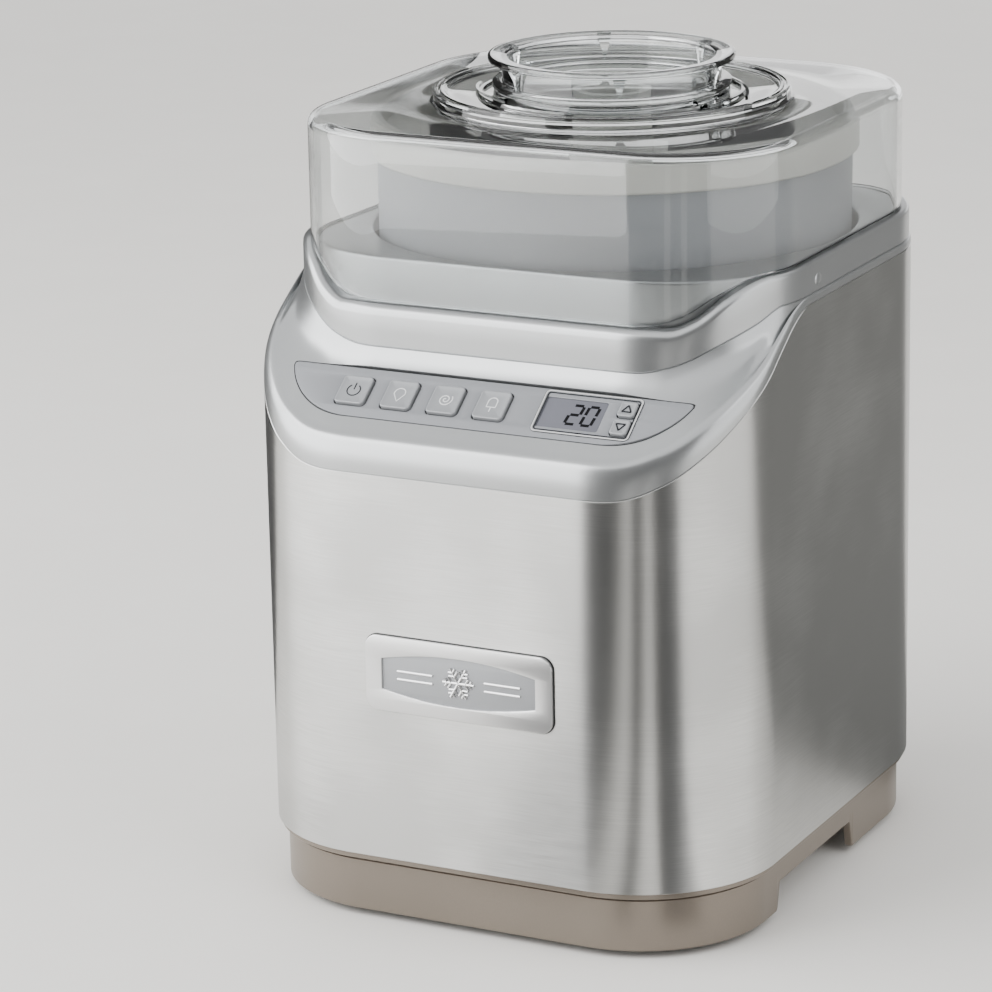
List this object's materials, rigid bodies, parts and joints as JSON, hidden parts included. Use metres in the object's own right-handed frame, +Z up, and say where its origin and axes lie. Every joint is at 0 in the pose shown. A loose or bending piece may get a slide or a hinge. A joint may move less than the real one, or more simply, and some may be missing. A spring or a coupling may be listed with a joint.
{
  "type": "ice cream maker",
  "caption": "Countertop ice cream maker: brushed steel body, sloped control fascia, driven freezer bowl, still paddle, and clear lid with a lift-out ingredient cap.",
  "frame": {"origin": "on the surface the feet stand on, below the middle of the body", "axes": "+Z up, -Y towards the user and the control fascia, +X to the user's right"},
  "size_m": [0.21, 0.2462, 0.321],
  "materials": {
    "badge_inset": "satin grey",
    "badge_metal": "satin plate",
    "black_plastic": "moulded",
    "bowl_aluminium": "spun and anodised",
    "bowl_plastic": "light grey",
    "bronze": "sintered bronze",
    "brushed_steel": "brushed along the width",
    "button_plastic": "satin silver grey",
    "circuit_board": "solder mask",
    "clear_plastic": "clear moulded plastic",
    "coolant_gel": "freezing gel",
    "deck_plastic": "fine silver metallic paint on moulded plastic",
    "display_glass": "liquid crystal cell",
    "display_window": "clear",
    "foot_rubber": "matt moulded rubber",
    "gear_acetal": "natural acetal",
    "inner_plastic": "moulded, unpainted",
    "paddle_plastic": "natural white",
    "panel_plastic": "satin grey",
    "plinth_plastic": "champagne paint on moulded plastic",
    "rim_plastic": "off-white",
    "shaft_steel": "ground",
    "silver_plastic": "fine silver metallic paint on moulded plastic",
    "zinc_steel": "zinc plated"
  },
  "bodies": {
    "housing": {"badge_inlay": "badge_inset", "badge_plate": "badge_metal", "base_plinth": "plinth_plastic", "board_brackets": "inner_plastic", "board_clips": "inner_plastic", "bowl_well": "deck_plastic", "button_switches": "black_plastic", "chassis_plate": "zinc_steel", "chassis_posts": "zinc_steel", "control_board": "circuit_board", "cord_inlet_grommet": "foot_rubber", "display_bezel": "badge_metal", "display_module": "display_glass", "display_window": "display_window", "floor_screws": "shaft_steel", "gear_pins": "shaft_steel", "gearbox_case": "inner_plastic", "gearbox_cover": "inner_plastic", "motor_bushes": "bronze", "motor_can": "zinc_steel", "motor_magnets": "black_plastic", "panel_plate": "panel_plastic", "power_board": "circuit_board", "power_components": "black_plastic", "rubber_feet": "foot_rubber", "shaft_bushes": "bronze", "steel_sleeve": "brushed_steel", "top_housing": "silver_plastic"},
    "bowl_carrier": {"bowl_glide_ring": "gear_acetal"},
    "bowl": {"bowl_shell": "bowl_plastic", "bowl_liner": "bowl_aluminium", "bowl_coolant": "coolant_gel", "bowl_rim": "rim_plastic"},
    "paddle": {"paddle": "paddle_plastic"},
    "lid": {"lid": "clear_plastic"},
    "cap": {"ingredient_cap": "clear_plastic"},
    "drive": {"output_gear": "gear_acetal", "output_shaft": "shaft_steel", "drive_hub": "black_plastic"},
    "second_gear": {"second_gear": "gear_acetal"},
    "first_gear": {"first_gear": "gear_acetal"},
    "motor": {"motor_rotor": "zinc_steel", "motor_shaft": "shaft_steel", "motor_pinion": "bronze", "cooling_fan": "black_plastic"},
    "power_button": {"power_button": "button_plastic"},
    "ice_cream_button": {"ice_cream_button": "button_plastic"},
    "gelato_button": {"gelato_button": "button_plastic"},
    "sorbet_button": {"sorbet_button": "button_plastic"},
    "time_up_button": {"time_up_button": "button_plastic"},
    "time_down_button": {"time_down_button": "button_plastic"}
  },
  "joints": [
    {"name": "bowl_lift", "type": "slide", "parent": "housing", "child": "bowl_carrier", "axis": [0, 0, 1], "range_m": [0, 0.2]},
    {"name": "bowl_spin", "type": "hinge", "parent": "bowl_carrier", "child": "bowl", "pos_m": [0, 0.0175, 0.13], "axis": [0, 0, 1], "continuous": true},
    {"name": "paddle_lift", "type": "slide", "parent": "bowl_carrier", "child": "paddle", "axis": [0, 0, 1], "range_m": [0, 0.17]},
    {"name": "lid_lift", "type": "slide", "parent": "paddle", "child": "lid", "axis": [0, 0, 1], "range_m": [0, 0.08]},
    {"name": "cap_lift", "type": "slide", "parent": "lid", "child": "cap", "axis": [0, 0, 1], "range_m": [0, 0.04]},
    {"name": "drive_spin", "type": "hinge", "parent": "housing", "child": "drive", "pos_m": [0, 0.0175, 0.11], "axis": [0, 0, 1], "continuous": true},
    {"name": "second_gear_spin", "type": "hinge", "parent": "housing", "child": "second_gear", "pos_m": [-0.03182, -0.01432, 0.105], "axis": [0, 0, 1], "continuous": true},
    {"name": "first_gear_spin", "type": "hinge", "parent": "housing", "child": "first_gear", "pos_m": [-0.03182, -0.04432, 0.097], "axis": [0, 0, 1], "continuous": true},
    {"name": "motor_spin", "type": "hinge", "parent": "housing", "child": "motor", "pos_m": [-0.00782, -0.04432, 0.06], "axis": [0, 0, 1], "continuous": true},
    {"name": "power_press", "type": "slide", "parent": "housing", "child": "power_button", "axis": [0, 0.5807, -0.8141], "range_m": [0, 0.0012], "stiffness_N_per_m": 500, "springref_m": -0.0004},
    {"name": "ice_cream_press", "type": "slide", "parent": "housing", "child": "ice_cream_button", "axis": [0, 0.5807, -0.8141], "range_m": [0, 0.0012], "stiffness_N_per_m": 500, "springref_m": -0.0004},
    {"name": "gelato_press", "type": "slide", "parent": "housing", "child": "gelato_button", "axis": [0, 0.5807, -0.8141], "range_m": [0, 0.0012], "stiffness_N_per_m": 500, "springref_m": -0.0004},
    {"name": "sorbet_press", "type": "slide", "parent": "housing", "child": "sorbet_button", "axis": [0, 0.5807, -0.8141], "range_m": [0, 0.0012], "stiffness_N_per_m": 500, "springref_m": -0.0004},
    {"name": "time_up_press", "type": "slide", "parent": "housing", "child": "time_up_button", "axis": [0, 0.5807, -0.8141], "range_m": [0, 0.0012], "stiffness_N_per_m": 500, "springref_m": -0.0004},
    {"name": "time_down_press", "type": "slide", "parent": "housing", "child": "time_down_button", "axis": [0, 0.5807, -0.8141], "range_m": [0, 0.0012], "stiffness_N_per_m": 500, "springref_m": -0.0004}
  ],
  "couplings": [
    {"joint": "drive_spin", "follows": "bowl_spin", "ratio": 1},
    {"joint": "second_gear_spin", "follows": "bowl_spin", "ratio": -5},
    {"joint": "first_gear_spin", "follows": "bowl_spin", "ratio": 20},
    {"joint": "motor_spin", "follows": "bowl_spin", "ratio": -80}
  ]
}
